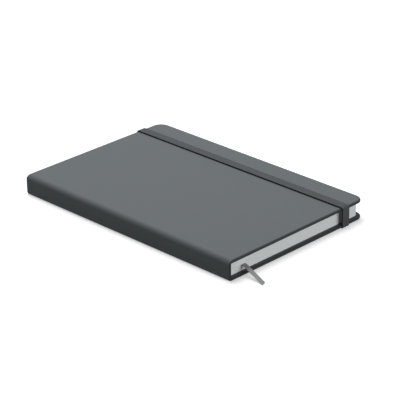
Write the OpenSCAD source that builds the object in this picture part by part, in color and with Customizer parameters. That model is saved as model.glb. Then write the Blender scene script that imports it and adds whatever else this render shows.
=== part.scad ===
// Hard-cover A5 notebook with an elastic closure and a ribbon marker, closed and lying flat.
// The spine is at -X, the fore-edge at +X, the head at +Y and the tail at -Y.
// The origin is the middle of the back cover's outer face, which lies on the table at z = 0.
// Each cover turns about a line along Y, 0.2 mm outside the spine and level with the cover's inner face.
// One skin wraps both covers and the spine; it is parted at the two seams so that the covers can turn.

/* [Book] */
// Height of the covers, head to tail
cover_l = 210; // [150:1:300]
// Width of the covers, spine to fore-edge
cover_w = 140; // [100:1:220]
// Thickness of the closed book over both covers
book_h = 15.5; // [12:0.5:30]

/* [Covers] */
// Thickness of the grey board in each cover
board_t = 1.6; // [1.4:0.1:3]
// Thickness of the soft-touch skin over board and spine
skin_t = 0.5; // [0.3:0.05:0.6]
// Plan radius of the covers' fore-edge corners
corner_r = 8; // [5:0.5:14]
// Rounding of a cover's outer edge, where the skin turns over the board
edge_r = 0.9; // [0.6:0.1:1.1]
// Rounding of a cover's inner edge
inner_edge_r = 0.4; // [0.2:0.1:0.6]
// Width of skin turned in over the inside of each cover
turn_in = 14; // [11:1:20]
// Thickness of the turned-in skin where the board gives way under it
turn_press = 0.3; // [0.2:0.05:0.4]

/* [Spine] */
// Outer radius where the front cover rolls over into the spine
front_spine_r = 4; // [2.2:0.2:4.6]
// Outer radius where the spine meets the back cover
back_spine_r = 1.6; // [1.4:0.2:4]
// Thickness of the card that stiffens the spine
stiffener_t = 0.5; // [0.4:0.1:0.8]
// Thickness of the lining glued to the back of the sewn pages
lining_t = 0.2; // [0.1:0.05:0.4]

/* [Pages and endpapers] */
// Overhang of the covers past the pages
square_w = 3.7; // [2:0.1:4.5]
// Smallest plan radius of the pages' fore-edge corners
page_corner_r = 3; // [0.5:0.5:8]
// Thickness of one leaf of endpaper
endpaper_t = 0.15; // [0.1:0.05:0.25]
// Skin left bare round the pasted-down leaf
endpaper_margin = 4; // [3:0.5:8]

/* [Elastic band] */
// Width of the elastic
band_w = 7; // [4:0.5:12]
// Thickness of the stretched elastic
band_t = 0.7; // [0.5:0.1:0.8]
// Middle of the elastic, measured in from the fore-edge
band_from_fore = 21.8; // [15:0.1:40]
// Slots in the back cover, measured in from head and tail
slot_from_end = 12; // [8:0.5:25]
// Length of elastic glued between board and endpaper at each end
tab_l = 10; // [6:1:20]

/* [Ribbon marker] */
// Width of the ribbon
ribbon_w = 3.6; // [3:0.2:8]
// Thickness of the ribbon
ribbon_t = 0.25; // [0.2:0.05:0.4]
// Middle of the ribbon where it leaves the pages, from the spine
ribbon_from_spine = 16.6; // [8:0.2:60]
// Height of the ribbon above the table where it leaves the pages
ribbon_h = 6.6; // [4.5:0.1:9]
// Slope of the ribbon's free end down to the table
ribbon_fall = 17; // [12:1:30]
// Sideways turn of the free end towards the spine
ribbon_turn = 8; // [0:1:15]
// Slant of the ribbon's cut end
ribbon_cut = 20; // [0:1:45]

/* [Clearances] */
// Seam between each cover and the spine
hinge_gap = 0.2; // [0.1:0.05:0.3]
// Air between a cover and the flyleaf under it
leaf_gap = 0.1; // [0.05:0.05:0.3]
// Hollow between spine card and lining
hollow_gap = 0.15; // [0.1:0.05:0.4]
// Air between the elastic and the covers' outside
band_gap = 0.15; // [0.1:0.05:0.3]
// Air round the elastic in its slot, seat and pocket
slot_gap = 0.05; // [0.05:0.05:0.2]
// Air round the ribbon between the pages
slit_gap = 0.05; // [0.05:0.05:0.2]

/* [Hidden] */
$fn = 96;

// How far a cutting solid runs past the face that it cuts
past = 1;
// Smallest radius left on an inner corner
least_r = 0.2;
cover_t = board_t + skin_t;
// Depth of the turned-in skin below a cover's inner face
turn_t = endpaper_t + turn_press;
// Plan radius of the inner corners of the turned-in skin
turn_r = 1;

spine_x = -cover_w / 2;
fore_x = cover_w / 2;
end_y = cover_l / 2;
spine_wall = skin_t + stiffener_t;
lining_inset = spine_wall + hollow_gap;
block_inset = lining_inset + lining_t;

page_end_y = end_y - square_w;
// How much tighter the pages' corners may be than the covers' corners, beyond the overhang
corner_ease = 2;
page_r = max(page_corner_r, corner_r - square_w - corner_ease);
front_leaf_z = book_h - cover_t - leaf_gap - endpaper_t;
back_leaf_z = cover_t + leaf_gap;
block_z = back_leaf_z + endpaper_t;
block_h = front_leaf_z - block_z;
// The lining stops short of the ends of the pages
lining_end = 6;
// Width of spine skin left free of card at each seam, so that it can flex
flex_w = 1.2;

band_x = fore_x - band_from_fore;
slot_y = end_y - slot_from_end;
tab_top = cover_t - endpaper_t;
slot_w = band_w + 2 * slot_gap;
slot_t = band_t + 2 * slot_gap;
seat_t = band_t + slot_gap;
band_bend_r = band_t;

ribbon_x = spine_x + ribbon_from_spine;
// The ribbon turns sideways just inside the pages
elbow_in = 2;
elbow_y = -page_end_y + elbow_in;
ribbon_bend_r = 6;
// Flats that make up the ribbon's bend
bend_steps = 6;
ribbon_level_l = elbow_in + 1;
ribbon_slope_l = (ribbon_h - ribbon_bend_r * (1 - cos(ribbon_fall))) / sin(ribbon_fall) - ribbon_t;
// The ribbon is glued in at the spine, near the head
root_in = 6;
root_x = spine_x + block_inset + ribbon_w / 2 + 1;
root_y = page_end_y - root_in;
root_turn = atan2(ribbon_x - root_x, root_y - elbow_y);
root_run = norm([ribbon_x - root_x, root_y - elbow_y]);

skin_colour = "#6b7173";
board_colour = "#a59a86";
card_colour = "#b3ab9c";
paper_colour = "#e4e5e1";
endpaper_colour = "#dcdcd6";
lining_colour = "#d8d3c4";
elastic_colour = "#565c60";
ribbon_colour = "#939596";

// What rounding a corner takes away, in the first quadrant about the centre of the round
module corner_waste(r) {
    difference() {
        square(r + past);
        circle(r);
    }
}

// Section of a cover's edge: as wide as w, with its outer end rounded above and below
module edge_section(w, h, r_top, r_low) {
    difference() {
        square([w, h]);
        translate([w - r_top, h - r_top]) corner_waste(r_top);
        translate([w - r_low, r_low]) mirror([0, 1]) corner_waste(r_low);
    }
}

// Plan of a leaf or board: square at the spine, round at the two fore-edge corners
module leaf_plan(inset, r) {
    x1 = fore_x - inset;
    y1 = end_y - inset;
    difference() {
        translate([spine_x, -y1]) square([x1 - spine_x, 2 * y1]);
        for (side = [0, 1]) mirror([0, side]) translate([x1 - r, y1 - r]) corner_waste(r);
    }
}

// A solid whose section lies in XZ, as long as l along Y
module along_y(l) {
    rotate([90, 0, 0]) linear_extrude(l, center = true) children();
}

// Section of the closed case in XZ, all round inset, with its two spine edges rounded
module case_section(inset) {
    front_r = max(front_spine_r - inset, least_r);
    back_r = max(back_spine_r - inset, least_r);
    difference() {
        translate([spine_x + inset, inset]) square([cover_w, book_h - 2 * inset]);
        translate([spine_x + inset + front_r, book_h - inset - front_r]) rotate(90) corner_waste(front_r);
        translate([spine_x + inset + back_r, inset + back_r]) rotate(180) corner_waste(back_r);
    }
}

// Children kept inside the case's outline, so that they follow its spine edges
module in_case(inset) {
    intersection() {
        along_y(cover_l + 2 * past) case_section(inset);
        children();
    }
}

// A curved wall of the spine between two insets, over a height and a length
module spine_shell(outer, inner, z0, z1, l) {
    difference() {
        intersection() {
            along_y(l) case_section(outer);
            translate([spine_x, -l / 2, z0]) cube([cover_w / 2, l, z1 - z0]);
        }
        along_y(l + 2 * past) case_section(inner);
    }
}

// A cover's envelope in its own space: inner face at z = 0, outer face at z = cover_t
module cover_form() {
    r = corner_r;
    run_x = cover_w - r;
    run_y = cover_l - 2 * r;
    translate([spine_x, -run_y / 2, 0]) cube([run_x, run_y, cover_t]);
    translate([fore_x - r, 0, 0]) along_y(run_y) edge_section(r, cover_t, edge_r, inner_edge_r);
    for (side = [0, 1]) mirror([0, side, 0]) {
        translate([spine_x, run_y / 2, 0]) rotate([90, 0, 90])
            linear_extrude(run_x) edge_section(r, cover_t, edge_r, inner_edge_r);
        translate([fore_x - r, run_y / 2, 0])
            rotate_extrude(angle = 90) edge_section(r, cover_t, edge_r, inner_edge_r);
    }
}

// The board in a cover's own space: full size outside, stepped in where the skin is turned over it
module board_form() {
    translate([0, 0, turn_t]) linear_extrude(cover_t - skin_t - turn_t) leaf_plan(skin_t, corner_r - skin_t);
    translate([0, 0, endpaper_t]) linear_extrude(turn_press) leaf_plan(turn_in, turn_r);
}

// The pasted-down leaf of endpaper in a cover's own space
module pastedown_form() {
    linear_extrude(endpaper_t) leaf_plan(endpaper_margin, max(corner_r - endpaper_margin, turn_r));
}

// The front cover's place in the book
module in_front() {
    translate([0, 0, book_h - cover_t]) children();
}

// The back cover's place in the book, inner face up
module in_back() {
    translate([0, 0, cover_t]) mirror([0, 0, 1]) children();
}

// The elastic's slots, outside seats and inside pockets, cut in the back cover.
// A seat in the board is deeper by the skin that lines it.
module band_cuts(lining) {
    seat_l = slot_from_end + past;
    for (side = [0, 1]) mirror([0, side, 0]) {
        translate([band_x - slot_w / 2, slot_y - slot_t / 2, -past]) cube([slot_w, slot_t, cover_t + past]);
        translate([band_x - slot_w / 2 - lining, slot_y - slot_t / 2, -past])
            cube([slot_w + 2 * lining, seat_l, seat_t + lining + past]);
        translate([band_x - slot_w / 2, slot_y - tab_l - slot_gap, tab_top - seat_t])
            cube([slot_w, tab_l, seat_t]);
    }
}

// Section of the elastic in YZ, one half: over the front, round the edge, under the back, in at the slot
module band_half_section() {
    out_y = end_y + band_gap + band_t;
    top_z = book_h + band_gap + band_t;
    top_r = edge_r + band_gap;
    difference() {
        square([out_y, top_z]);
        translate([0, band_t]) square([out_y - band_t - top_r, top_z - 2 * band_t]);
        translate([0, band_t]) square([out_y - band_t, top_z - 2 * band_t - top_r]);
        translate([out_y - band_t - top_r, top_z - band_t - top_r]) circle(top_r);
        translate([out_y - top_r - band_t, top_z - top_r - band_t]) corner_waste(top_r + band_t);
        translate([out_y - band_bend_r, band_bend_r]) mirror([0, 1]) corner_waste(band_bend_r);
        translate([-past, -past]) square([slot_y - band_t / 2 + past, band_t + 2 * past]);
    }
    translate([slot_y - band_t / 2, 0]) square([band_t, tab_top]);
    translate([slot_y - tab_l, tab_top - band_t]) square([tab_l, band_t]);
}

// The ribbon's run between the pages, from its glued root to its sideways turn, grown by a clearance
module ribbon_run(grow) {
    w = ribbon_w + 2 * grow;
    h = ribbon_t + 2 * grow;
    translate([ribbon_x, elbow_y, ribbon_h - grow]) {
        rotate(root_turn) translate([-w / 2, 0, 0]) cube([w, root_run, h]);
        cylinder(d = w, h = h);
        rotate(-ribbon_turn) translate([-w / 2, -elbow_in - grow, 0]) cube([w, elbow_in + grow, h]);
    }
}

// A point of the ribbon's bend, at a radius and an angle from upright
function bend_point(r, a) = [ribbon_level_l + r * sin(a), r * cos(a)];

// One side of the ribbon's free end, seen along Y: level, over a bend of radius r, then down the slope
function ribbon_side(r) = concat(
    [[0, r]],
    [for (k = [0:bend_steps]) bend_point(r, ribbon_fall * k / bend_steps)],
    [bend_point(r, ribbon_fall) + ribbon_slope_l * [cos(ribbon_fall), -sin(ribbon_fall)]]
);

// The ribbon's free end along +X, from its sideways turn to the table
module ribbon_tail() {
    low = ribbon_side(ribbon_bend_r);
    high = ribbon_side(ribbon_bend_r + ribbon_t);
    rotate([90, 0, 0]) linear_extrude(ribbon_w, center = true) translate([0, -ribbon_bend_r])
        polygon(concat(low, [for (k = [len(high) - 1:-1:0]) high[k]]));
}

// Where the ribbon is cut off at a slant, beyond the tip of its shorter side
module ribbon_trim() {
    bend_l = (ribbon_bend_r + ribbon_t) * sin(ribbon_fall);
    reach = ribbon_level_l + bend_l + ribbon_slope_l * cos(ribbon_fall);
    block = 4 * ribbon_w;
    translate([ribbon_w / 2, -reach + ribbon_w * tan(ribbon_cut), -ribbon_h]) rotate(ribbon_cut)
        translate([ribbon_w - block, -block, 0]) cube([block, block, ribbon_h]);
}

module page_block() {
    color(paper_colour) difference() {
        in_case(block_inset) translate([0, 0, block_z]) linear_extrude(block_h) leaf_plan(square_w, page_r);
        ribbon_run(slit_gap);
    }
}

module spine_lining() {
    color(lining_colour)
        spine_shell(lining_inset, block_inset, block_z, front_leaf_z, 2 * (page_end_y - lining_end));
}

module front_flyleaf() {
    color(endpaper_colour) in_case(block_inset)
        translate([0, 0, front_leaf_z]) linear_extrude(endpaper_t) leaf_plan(square_w, page_r);
}

module back_flyleaf() {
    color(endpaper_colour) in_case(block_inset)
        translate([0, 0, back_leaf_z]) linear_extrude(endpaper_t) leaf_plan(square_w, page_r);
}

module ribbon_marker() {
    color(ribbon_colour) {
        ribbon_run(0);
        translate([ribbon_x, elbow_y, ribbon_h]) rotate(-ribbon_turn) difference() {
            rotate(-90) ribbon_tail();
            ribbon_trim();
        }
    }
}

// The card inside the spine, stepped in at head and tail where the skin is turned over it
module spine_stiffener() {
    z0 = cover_t + hinge_gap + flex_w;
    z1 = book_h - cover_t - hinge_gap - flex_w;
    color(card_colour) {
        spine_shell(skin_t, spine_wall - turn_press, z0, z1, cover_l - 2 * skin_t);
        spine_shell(spine_wall - turn_press, spine_wall, z0, z1, cover_l - 2 * turn_in);
    }
}

// The skin of the spine, with the ends that are turned in at head and tail
module spine_skin() {
    z0 = cover_t + hinge_gap;
    z1 = book_h - cover_t - hinge_gap;
    color(skin_colour) {
        spine_shell(0, skin_t, z0, z1, cover_l);
        difference() {
            spine_shell(0, spine_wall, z0 + flex_w, z1 - flex_w, cover_l);
            spine_shell(-past, spine_wall - turn_press, 0, book_h, cover_l - 2 * skin_t);
            spine_shell(-past, spine_wall + past, 0, book_h, cover_l - 2 * turn_in);
        }
    }
}

module front_board() {
    color(board_colour) in_case(skin_t) in_front() board_form();
}

module front_skin() {
    color(skin_colour) difference() {
        in_case(0) in_front() cover_form();
        in_case(skin_t) in_front() board_form();
        in_case(skin_t) in_front() pastedown_form();
    }
}

module front_pastedown() {
    color(endpaper_colour) in_case(skin_t) in_front() pastedown_form();
}

module back_board() {
    color(board_colour) difference() {
        in_case(skin_t) in_back() board_form();
        band_cuts(skin_t);
    }
}

module back_skin() {
    color(skin_colour) difference() {
        in_case(0) in_back() cover_form();
        back_board_space();
        in_case(skin_t) in_back() pastedown_form();
        band_cuts(0);
    }
}

module back_pastedown() {
    color(endpaper_colour) in_case(skin_t) in_back() pastedown_form();
}

// The room that the board takes up inside the back cover's skin
module back_board_space() {
    difference() {
        in_case(skin_t) in_back() board_form();
        band_cuts(skin_t);
    }
}

module elastic_band() {
    color(elastic_colour) translate([band_x - band_w / 2, 0, 0]) rotate([90, 0, 90])
        linear_extrude(band_w) for (side = [0, 1]) mirror([side, 0]) band_half_section();
}

page_block();
spine_lining();
front_flyleaf();
back_flyleaf();
ribbon_marker();
spine_skin();
spine_stiffener();
front_board();
front_skin();
front_pastedown();
back_board();
back_skin();
back_pastedown();
elastic_band();
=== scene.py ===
import math

import bmesh
import bpy
from mathutils import Matrix, Vector


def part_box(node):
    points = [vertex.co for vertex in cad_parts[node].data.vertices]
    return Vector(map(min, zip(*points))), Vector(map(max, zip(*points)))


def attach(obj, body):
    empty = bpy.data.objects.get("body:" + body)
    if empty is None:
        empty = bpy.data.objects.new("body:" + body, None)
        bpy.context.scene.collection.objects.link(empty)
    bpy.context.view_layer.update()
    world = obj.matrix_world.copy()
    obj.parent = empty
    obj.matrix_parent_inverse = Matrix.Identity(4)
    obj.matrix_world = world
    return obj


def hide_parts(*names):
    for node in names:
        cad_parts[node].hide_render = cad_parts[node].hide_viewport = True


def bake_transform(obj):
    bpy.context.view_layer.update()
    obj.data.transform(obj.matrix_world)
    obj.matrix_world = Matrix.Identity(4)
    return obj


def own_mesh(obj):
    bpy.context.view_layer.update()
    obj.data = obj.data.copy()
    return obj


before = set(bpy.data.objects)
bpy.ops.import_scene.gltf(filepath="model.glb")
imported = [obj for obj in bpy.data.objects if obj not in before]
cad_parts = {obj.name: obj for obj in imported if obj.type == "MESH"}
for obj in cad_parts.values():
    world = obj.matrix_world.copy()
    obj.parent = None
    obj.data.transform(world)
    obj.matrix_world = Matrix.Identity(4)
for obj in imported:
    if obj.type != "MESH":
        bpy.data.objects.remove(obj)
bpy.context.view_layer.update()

MM = 0.001

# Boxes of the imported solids, each as its lowest and its highest corner
_, front_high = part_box("front_skin")
_, back_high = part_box("back_skin")
spine_low, spine_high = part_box("spine_skin")
block_low, block_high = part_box("page_block")
band_low, band_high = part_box("elastic_band")
front_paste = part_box("front_pastedown")
front_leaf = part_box("front_flyleaf")
back_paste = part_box("back_pastedown")
back_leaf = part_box("back_flyleaf")

# Places that follow from them
BOOK_H = front_high.z
COVER_T = back_high.z
SPINE_X = spine_low.x
FORE_X = back_high.x
END_Y = back_high.y
SEAM_H = (spine_low.z + spine_high.z) / 2
BAND_X = (band_low.x + band_high.x) / 2

# Covers: rounded corners, edges rounded outside and inside, and a shoulder that falls to the edge
CORNER_R = 8 * MM
LEAST_CORNER_R = 1 * MM
FRONT_SPINE_R = 4 * MM
BACK_SPINE_R = 1.6 * MM
EDGE_R = 1.05 * MM
INNER_R = 0.4 * MM
SHOULDER_W = 2.4 * MM
SHOULDER_DROP = 0.12 * MM
SHOULDER_START = 0.9 * MM
FACE_INSET = 3 * MM
TURN_X = FORE_X - CORNER_R
TURN_Y = END_Y - CORNER_R

# Skin: its thickness outside, turned in and with the spine's card, its pleats, and how far the shade
# painted on its edges fades
SKIN_T = 0.38 * MM
TURNED_T = 0.26 * MM
SPINE_WALL = 1 * MM
TURN_IN = 14 * MM
PLEAT_DEPTH = 0.16 * MM
PLEATS = 6
SHADE_FADE_INSIDE = 4.5 * MM
SHADE_FADE_OUTSIDE = 1.6 * MM

# The pasted leaf lies let in, and leaves a margin of skin bare
RECESS = 0.16 * MM
MARGIN = 4 * MM

# Depths at which the skin leaves the spine card and meets the cover's board, and the stretch after
# that which has close stations
FLEX_DEPTH = 3.5 * MM
JOINT_DEPTH = 2.2 * MM
JOINT_SETTLE = 0.8 * MM

# Steps round a fore-edge corner, and the place along X from which the skin's lines close up towards it
CORNER_STEPS = 36
FIT_X = 40 * MM

# Elastic, its slots and its seats
BAND_T = 0.7 * MM
BAND_CORDS = 9
BAND_OUTER_BEND = 1.4 * MM
BAND_INNER_BEND = 0.08 * MM
BAND_SNUG = 0.14 * MM
TAB_L = 10 * MM
TAB_DEPTH = 0.15 * MM
SLOT_FROM_END = 12 * MM
SLOT_W = 7.1 * MM
SLOT_T = 0.8 * MM
SEAT_T = 0.72 * MM
SLOT_EDGE = 0.12 * MM
SLOT_OUT_Y = END_Y - SLOT_FROM_END + SLOT_T / 2
SLOT_IN_Y = END_Y - SLOT_FROM_END - SLOT_T / 2
SEATS = [(BAND_X - SLOT_W / 2, BAND_X + SLOT_W / 2)]

# Grooves beside the elastic on the front cover, which its edges press in, with shade painted in them
GROOVE_W = 0.85 * MM
GROOVE_FADE = 0.12 * MM
GROOVE_DEPTH = 0.25 * MM
SHADED_GROOVES = [band_low.x - GROOVE_W / 2, band_high.x + GROOVE_W / 2]

# Pages, drawn a little coarser than the 110 to 120 leaves that such a block really has
LEAVES = 96
SECTION_LEAVES = 8
LEAF_T = 0.11 * MM
LEAF_SCATTER = 0.02 * MM
PAGE_CORNER_R = 3 * MM
SECTION_FOLD = 0.3 * MM
SPINE_FOLD_W = 1.5 * MM
PAGE_ROLL_IN = 1.35 * MM

# Endpapers: where they fold beside the spine, and the turned-in skin's edge that shows through
ENDPAPER_T = 0.12 * MM
FOLD_FROM_SPINE = 1.15 * MM
FOLD_EASE = 0.6 * MM
FOLD_CORNER = 0.04 * MM
FOLD_BLEND = 0.03 * MM
GHOST_W = 0.6 * MM
PRESSED = 0.03 * MM
RAISED = 0.02 * MM

# Ribbon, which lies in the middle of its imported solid, and how far the leaves part round it
RIBBON_W = 3.6 * MM
RIBBON_T = 0.2 * MM
RIBBON_FROM_SPINE = 16.6 * MM
RIBBON_X = SPINE_X + RIBBON_FROM_SPINE
RIBBON_H = 6.6 * MM
RIBBON_SOLID_T = 0.25 * MM
RIBBON_MIDDLE = RIBBON_H + RIBBON_SOLID_T / 2
RIBBON_FALL = math.radians(17)
RIBBON_TURN = math.radians(8)
RIBBON_CUT = math.radians(20)
RIBBON_CUT_RUN = 12 * MM
RIBBON_BEND_R = 6 * MM
RIBBON_ELBOW_IN = 2 * MM
RIBBON_LEVEL = 3 * MM
RIBBON_ROOT_IN = 6 * MM
RIBBON_ROOT_GAP = 1 * MM
RIBBON_OFF_TABLE = 0.12 * MM
PART_H = 0.15 * MM
PART_FLAT = 2.4 * MM
PART_W = 9 * MM
PART_FADE = 5 * MM

# Points of an arc and of a fold, the angle over which an edge looks sharp, and a hair for comparing places
BEND_STEPS = 8
FOLD_STEPS = 24
SHARP_EDGE = math.radians(40)
HAIR = 1e-6

# Period of a wave texture along X or Y at scale 1, where a unit is a millimetre, and the soft edge of a
# strip's selvedge colour
WAVE_MM = math.pi / 10
SELVEDGE_AND_SHADE_FADE_MM = 0.15

# Camera, fitted to the photograph's straight edges
CAMERA_AZIMUTH = math.radians(-45.01)
CAMERA_ELEVATION = math.radians(24.76)
CAMERA_ROLL = math.radians(-0.84)
CAMERA_DISTANCE = 1.363
CAMERA_AIM = Vector((-0.0005, -0.0078, 0.007))
FOCAL_PIXELS = 1869.3
PHOTO_PIXELS = 400
SENSOR_MM = 36

# Light: the soft key stands behind and to the right, the weak fill before the tail
KEY_PLACE = (0.14, 0.42, 1.15)
KEY_SIZE = 0.8
KEY_WATTS = 10.7
FILL_PLACE = (0.15, -1.8, 0.4)
FILL_SIZE = 1.4
FILL_WATTS = 18.5
ROOM_LIGHT = 0.15
FLOOR_LIFT = 0.42
FLOOR_REACH = 0.8
FLOOR_Z = -0.05 * MM


def rgb(code):
    """A colour written as sRGB hex, as the linear values that shaders take."""
    parts = [int(code[i : i + 2], 16) / 255 for i in (1, 3, 5)]
    linear = [c / 12.92 if c <= 0.04045 else ((c + 0.055) / 1.055) ** 2.4 for c in parts]
    return (*linear, 1.0)


def add(tree, kind, inputs=None, **settings):
    """Adds a node, makes its settings, and sets or links its inputs."""
    node = tree.nodes.new(kind)
    for name, value in settings.items():
        setattr(node, name, value)
    for name, value in (inputs or {}).items():
        if isinstance(value, bpy.types.NodeSocket):
            tree.links.new(value, node.inputs[name])
        else:
            node.inputs[name].default_value = value
    return node


def smooth(t):
    """A smooth step from 0 to 1."""
    t = min(1.0, max(0.0, t))
    return t * t * (3 - 2 * t)


# Meshes


def piece_of(name, points, faces, material):
    """A mesh object of points and faces, smooth but for its sharp edges."""
    mesh = bpy.data.meshes.new(name)
    mesh.from_pydata([tuple(p) for p in points], [], faces)
    work = bmesh.new()
    work.from_mesh(mesh)
    bmesh.ops.delete(work, geom=[v for v in work.verts if not v.link_faces], context="VERTS")
    if work.calc_volume(signed=True) < 0:
        bmesh.ops.reverse_faces(work, faces=work.faces)
    work.to_mesh(mesh)
    work.free()
    mesh.shade_smooth()
    mesh.set_sharp_from_angle(angle=SHARP_EDGE)
    mesh.materials.append(material)
    piece = bpy.data.objects.new(name, mesh)
    bpy.context.scene.collection.objects.link(piece)
    return piece


def walled(name, outer, inner, faces, material, marks=None):
    """A closed wall between two layers of points; the faces are those of the outer layer.

    Wherever a face has no neighbour, a rim joins the two layers. Marks are named lists with one value
    for each point of the outer layer, kept as attributes of both layers.
    """
    count = len(outer)
    edges = {(face[k - 1], face[k]) for face in faces for k in range(len(face))}
    rims = [(b, a, a + count, b + count) for a, b in sorted(edges) if (b, a) not in edges]
    back = [tuple(i + count for i in reversed(face)) for face in faces]
    used = {i for face in faces for i in face}
    kept = [i for i in range(count) if i in used]
    piece = piece_of(name, list(outer) + list(inner), list(faces) + back + rims, material)
    for label, values in (marks or {}).items():
        attribute = piece.data.attributes.new(label, "FLOAT", "POINT")
        attribute.data.foreach_set("value", [values[i] for i in kept] * 2)
    return piece


def strip_faces(rows, columns):
    """Quads of a grid of points that are numbered row by row."""
    faces = []
    for r in range(rows - 1):
        for c in range(columns - 1):
            a = r * columns + c
            faces.append((a, a + 1, a + columns + 1, a + columns))
    return faces


def arc(centre, radius, start, end, steps):
    """Points on an arc in a plane, angles in degrees, both ends included."""
    points = []
    for k in range(steps + 1):
        a = math.radians(start + (end - start) * k / steps)
        points.append((centre[0] + radius * math.cos(a), centre[1] + radius * math.sin(a)))
    return points


def rounded(corners):
    """A path through corners, each given as (u, v, radius), with its corners rounded."""
    path = [corners[0][:2]]
    for before, (u, v, radius), after in zip(corners, corners[1:], corners[2:]):
        here = Vector((u, v))
        back = (Vector(before[:2]) - here).normalized()
        ahead = (Vector(after[:2]) - here).normalized()
        half = back.angle(ahead) / 2
        run = radius / math.tan(half)
        centre = here + (back + ahead).normalized() * radius / math.sin(half)
        first = here + back * run - centre
        last = here + ahead * run - centre
        turn = first.angle_signed(last)
        for k in range(BEND_STEPS + 1):
            path.append(tuple(centre + Matrix.Rotation(-turn * k / BEND_STEPS, 2) @ first))
    path.append(corners[-1][:2])
    return path


def side_step(path):
    """For each point of a plane path, the unit vector to the left of its run."""
    sides = []
    for k in range(len(path)):
        ahead = Vector(path[min(k + 1, len(path) - 1)]) - Vector(path[max(k - 1, 0)])
        sides.append(Vector((-ahead.y, ahead.x)).normalized())
    return sides


# Skin of the case. Its points are (x, y, depth), where depth is measured in from a cover's outer face.


def edge_rows(wall, recess, pleat):
    """Points (inset, depth) from the turned-in skin's end, round a cover's edge, to its outer face.

    A thin wall's edges are rounded less.
    """
    outer_r = min(EDGE_R, 0.42 * wall)
    inner_r = min(INNER_R, 0.3 * wall)
    lean = math.atan(2 * SHOULDER_DROP / (SHOULDER_W - SHOULDER_START))
    under = wall - recess
    # The first six rows lie under the pasted leaf, the next three are the bare margin with its pleats
    rows = [
        (TURN_IN, under),
        (SLOT_FROM_END + SLOT_T / 2, under),
        (SLOT_FROM_END - SLOT_T / 2, under),
        (8 * MM, under),
        (6 * MM, under),
        (MARGIN + 0.15 * MM, under),
        (MARGIN, wall - pleat / 2),
        (2.4 * MM, wall - pleat),
        (1.2 * MM, wall - pleat / 2),
    ]
    rows += [(inner_r - u, wall - inner_r + v) for u, v in arc((0, 0), inner_r, 90, 0, 5)]
    # The outer round ends where the shoulder takes over at its lean
    reach = outer_r / (1 - math.sin(lean))
    drop = SHOULDER_DROP + reach * math.cos(lean)
    rows += [(reach - u, drop - v) for u, v in arc((0, 0), reach, 0, 90 - math.degrees(lean), 10)]
    for k in range(1, 5):
        inset = outer_r + (SHOULDER_W - outer_r) * k / 4
        rows.append((inset, SHOULDER_DROP * ((SHOULDER_W - inset) / (SHOULDER_W - outer_r)) ** 2))
    rows.append((FACE_INSET, 0.0))
    return rows


def lining_rows(rows):
    """The same rows on the skin's glued side; what is turned in is pared thinner."""
    inside = []
    for (inset, depth), side in zip(rows, side_step(rows)):
        thick = TURNED_T if inset > 1 * MM and depth > 0.5 * MM else SKIN_T
        inside.append((inset + side.x * thick, depth + side.y * thick))
    return inside


def painted_skin_shade(inset, depth):
    """How much shade is painted on the skin: 1 on a cover's edge, fading over the margin, 0 on the outer
    face.
    """
    fade = SHADE_FADE_INSIDE if depth > COVER_T / 2 else SHADE_FADE_OUTSIDE
    return smooth(1.2 - inset / fade) if depth > 0.02 * MM else 0.0


def section_at(place, wall, rim, pleat):
    """One section round the edge, as outer points, inner points and painted shade; place puts a row in
    space.
    """
    rows = edge_rows(wall, RECESS * rim, pleat)
    outer = [place(inset, depth) for inset, depth in rows]
    inner = [place(inset, depth) for inset, depth in lining_rows(rows)]
    return outer, inner, [painted_skin_shade(inset, depth) for inset, depth in rows]


def spine_stations(spine_r, half):
    """Stations of the skin from mid-spine, over the rolled edge, onto a cover.

    Each is an outer and an inner point in (x, depth), and how much of the recess it has.
    """
    wall_l = half - spine_r
    roll_l = math.pi / 2 * spine_r

    def outer_at(s):
        if s <= wall_l:
            return Vector((SPINE_X, half - s)), Vector((1, 0))
        a = (s - wall_l) / spine_r
        inward = Vector((math.cos(a), math.sin(a)))
        return Vector((SPINE_X + spine_r, spine_r)) - inward * spine_r, inward

    def length_at(depth):
        if depth >= spine_r:
            return half - depth
        return wall_l + spine_r * math.asin(1 - depth / spine_r)

    flex = length_at(FLEX_DEPTH)
    joint = length_at(JOINT_DEPTH)
    settled = joint + JOINT_SETTLE
    end = wall_l + roll_l
    lengths = [flex * k / 8 for k in range(8)]
    lengths += [flex + (joint - flex) * k / 14 for k in range(14)]
    lengths += [joint + (settled - joint) * k / 8 for k in range(8)]
    lengths += [settled + (end - settled) * k / 16 for k in range(17)]
    leave, inward = outer_at(flex)
    leave = leave + inward * SPINE_WALL
    meet = Vector((SPINE_X + SPINE_WALL, COVER_T))
    stations = []
    for s in lengths:
        point, inward = outer_at(s)
        if s <= flex:
            inner = point + inward * SPINE_WALL
        elif s <= joint:
            inner = leave.lerp(meet, (s - flex) / (joint - flex))
        else:
            inner = meet.lerp(Vector((SPINE_X + spine_r, COVER_T)), (s - joint) / (end - joint))
        # The recess comes in over the first quarter of the way from the joint to the flat
        stations.append((point, inner, smooth((s - joint) / (end - joint) * 4)))
    return stations


def flat_stations(spine_r, seats, shaded_grooves):
    """Stations over the flat of a cover: regular ones, and the edges of the seats and of the shaded
    grooves.
    """
    exact = [x for low, high in seats for x in (low - SLOT_EDGE, low, high, high + SLOT_EDGE)]
    for x in shaded_grooves:
        exact += [x + side * r for side in (-1, 1) for r in (GROOVE_W / 2, GROOVE_W / 2 + GROOVE_FADE)]
    start = SPINE_X + spine_r
    steps = 28
    regular = [start + (TURN_X - start) * k / steps for k in range(1, steps + 1)]
    clear = [x for x in regular if all(abs(x - e) > 1 * MM for e in exact)]
    return [(Vector((x, 0)), Vector((x, COVER_T)), 1.0) for x in sorted(clear + exact)]


def corner_left(inset):
    """Plan radius of a fore-edge corner at an inset."""
    return max(CORNER_R - inset, LEAST_CORNER_R)


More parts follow.
